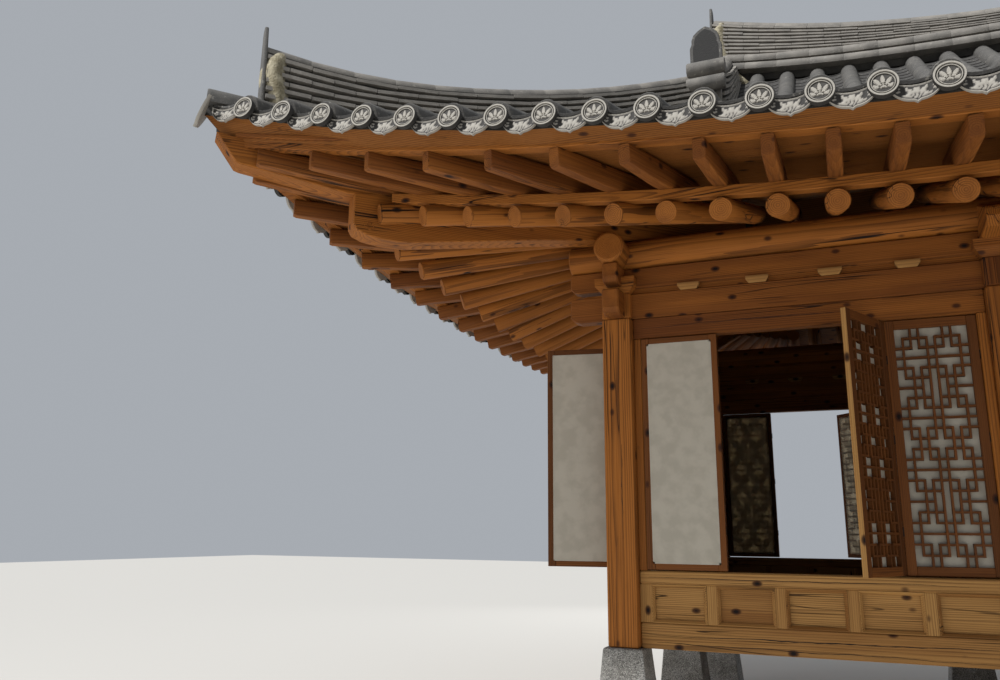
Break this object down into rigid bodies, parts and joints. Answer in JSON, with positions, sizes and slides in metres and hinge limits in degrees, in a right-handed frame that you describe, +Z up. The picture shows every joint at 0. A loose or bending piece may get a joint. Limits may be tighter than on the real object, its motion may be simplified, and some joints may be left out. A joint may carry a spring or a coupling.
{
  "type": "hanok house",
  "caption": "Raised timber hanok pavilion, three bays by two on stone plinths, folding lattice windows all round and a curved tiled hip-and-gable roof.",
  "frame": {"origin": "on the ground under the middle of the house", "axes": "+X along the three bays, front facade towards -Y, +Z up"},
  "size_m": [11.43, 8.25, 6.7],
  "materials": {
    "granite": "pointed grey granite with dark and pale grains",
    "pine": "oiled warm orange-brown pine with strong grain, knots and drying cracks",
    "leaf_pine": "reddish brown oiled pine of the window leaves",
    "roof_tile": "smoked grey fired clay tile, weathered paler in places",
    "window_paper": "off-white mulberry paper with faint fibres",
    "lime_mortar": "cream lime plaster between tile courses",
    "iron": "black forged iron fittings"
  },
  "bodies": {
    "root": {"corner_ridge_back_left": "roof_tile", "corner_ridge_back_right": "roof_tile", "corner_ridge_front_left": "roof_tile", "corner_ridge_front_right": "roof_tile", "eave_rafters_back": "pine", "eave_rafters_front": "pine", "eave_rafters_left": "pine", "eave_rafters_right": "pine", "floor": "pine", "gable_left": "pine", "gable_right": "pine", "head_frame": "pine", "hip_rafter_back_left": "pine", "hip_rafter_back_right": "pine", "hip_rafter_front_left": "pine", "hip_rafter_front_right": "pine", "main_ridge": "roof_tile", "plinth_back_1": "granite", "plinth_back_2": "granite", "plinth_back_3": "granite", "plinth_back_4": "granite", "plinth_front_1": "granite", "plinth_front_2": "granite", "plinth_front_3": "granite", "plinth_front_4": "granite", "plinth_left_1": "granite", "plinth_right_1": "granite", "post_back_1": "pine", "post_back_2": "pine", "post_back_3": "pine", "post_back_4": "pine", "post_front_1": "pine", "post_front_2": "pine", "post_front_3": "pine", "post_front_4": "pine", "post_left_1": "pine", "post_right_1": "pine", "purlins": "pine", "roof_back": "roof_tile", "roof_front": "roof_tile", "roof_left": "roof_tile", "roof_right": "roof_tile", "wall_back_1": "pine", "wall_back_2": "pine", "wall_back_3": "pine", "wall_front_1": "pine", "wall_front_2": "pine", "wall_front_3": "pine", "wall_left_1": "pine", "wall_left_2": "pine", "wall_right_1": "pine", "wall_right_2": "pine", "window_leaf_back_folded": "leaf_pine", "window_leaf_back_open": "leaf_pine", "window_leaf_front_folded": "leaf_pine", "window_leaf_front_open": "leaf_pine", "window_leaf_left_open": "leaf_pine"}
  },
  "joints": []
}
